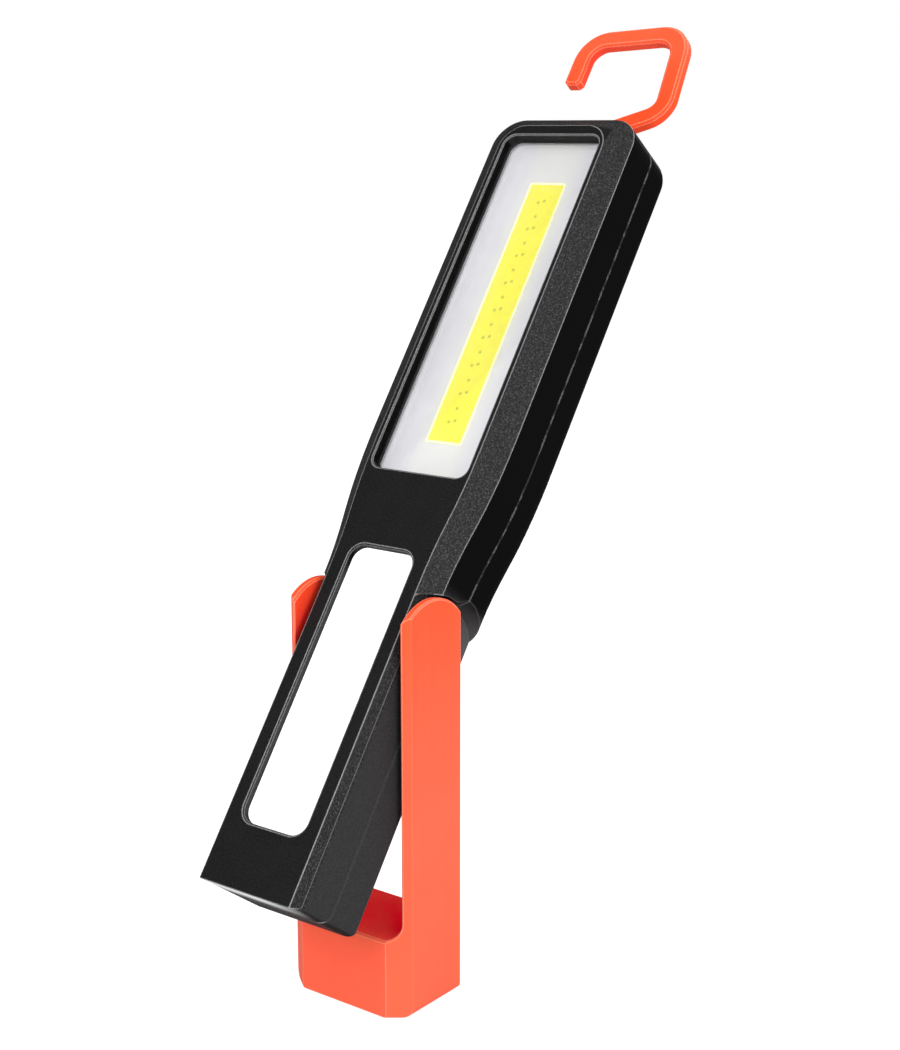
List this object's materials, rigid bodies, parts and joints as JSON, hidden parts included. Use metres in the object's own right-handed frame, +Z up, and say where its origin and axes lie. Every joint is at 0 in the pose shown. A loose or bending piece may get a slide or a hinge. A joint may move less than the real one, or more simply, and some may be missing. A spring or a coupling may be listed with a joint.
{
  "type": "work light",
  "caption": "Slim cordless inspection lamp with a long light window, tilting on a U-shaped stand with a magnetic foot, and a hook that folds out of its back.",
  "frame": {"origin": "centre of the stand foot's underside, below the tilt hinge", "axes": "+Z up, X along the tilt hinge, the light window faces -Y and leans back towards +Y"},
  "size_m": [0.0516, 0.1958, 0.2793],
  "materials": {
    "black_abs": "fine moulded texture, satin",
    "orange_abs": "moulded, satin",
    "orange_rubber": "soft touch",
    "white_panel": "smooth, satin",
    "clear_pc": "clear",
    "black_rubber": "matte",
    "white_reflector": "smooth",
    "white_board": "white solder mask",
    "pale_dam": "silicone",
    "led_die": "small dies",
    "phosphor": "silicone phosphor",
    "aluminium": "mill finish",
    "steel": "zinc plated",
    "black_steel": "black oxide",
    "green_board": "solder mask",
    "chip_black": "epoxy",
    "capacitor_can": "can",
    "switch_white": "smooth",
    "frosted_bar": "frosted",
    "cell_wrap": "shrink sleeve",
    "nickel": "nickel strip",
    "lead_red": "insulation",
    "lead_black": "insulation",
    "nylon": "natural",
    "magnet_plate": "nickel plated"
  },
  "bodies": {
    "stand": {"stand_yoke": "orange_abs", "foot_cover": "black_abs", "foot_magnets": "magnet_plate", "magnet_keeper": "steel", "foot_screws": "steel", "disc_springs": "steel", "pivot_washers": "steel", "pivot_screws": "steel"},
    "lamp": {"front_shell": "black_abs", "rear_shell": "black_abs", "case_screws": "black_steel", "handle_panel": "white_panel", "window_lens": "clear_pc", "lens_gasket": "black_rubber", "reflector_tray": "white_reflector", "cob_board": "white_board", "cob_dam": "pale_dam", "led_chips": "led_die", "cob_phosphor": "phosphor", "heat_sink": "aluminium", "heat_sink_screws": "steel", "driver_board": "green_board", "board_screws": "steel", "driver_chip": "chip_black", "inductor": "chip_black", "capacitors": "capacitor_can", "switch_body": "chip_black", "charge_light_bar": "frosted_bar", "usb_socket": "steel", "battery_cell": "cell_wrap", "cell_tabs": "nickel", "cell_cradle": "black_abs", "battery_lead_red": "lead_red", "battery_lead_black": "lead_black", "led_lead_red": "lead_red", "led_lead_black": "lead_black", "hook_pin": "steel", "hook_washers": "nylon"},
    "hook": {"hook": "orange_abs"},
    "button": {"power_button": "orange_rubber", "switch_plunger": "switch_white"},
    "flap": {"usb_flap": "black_rubber"}
  },
  "joints": [
    {"name": "lamp_tilt", "type": "hinge", "parent": "stand", "child": "lamp", "pos_m": [0, 0, 0.105], "axis": [-1, 0, 0], "range_deg": [-35.88, 44]},
    {"name": "hook_fold", "type": "hinge", "parent": "lamp", "child": "hook", "pos_m": [0, 0.1105, 0.23353], "axis": [-1, 0, 0], "range_deg": [0, 180]},
    {"name": "button_press", "type": "slide", "parent": "lamp", "child": "button", "axis": [0, -0.8102, 0.5861], "range_m": [0, 0.0006], "stiffness_N_per_m": 250},
    {"name": "flap_open", "type": "hinge", "parent": "lamp", "child": "flap", "pos_m": [-0.02535, 0.05073, 0.15568], "axis": [0, -0.8102, 0.5861], "range_deg": [0, 100]}
  ]
}
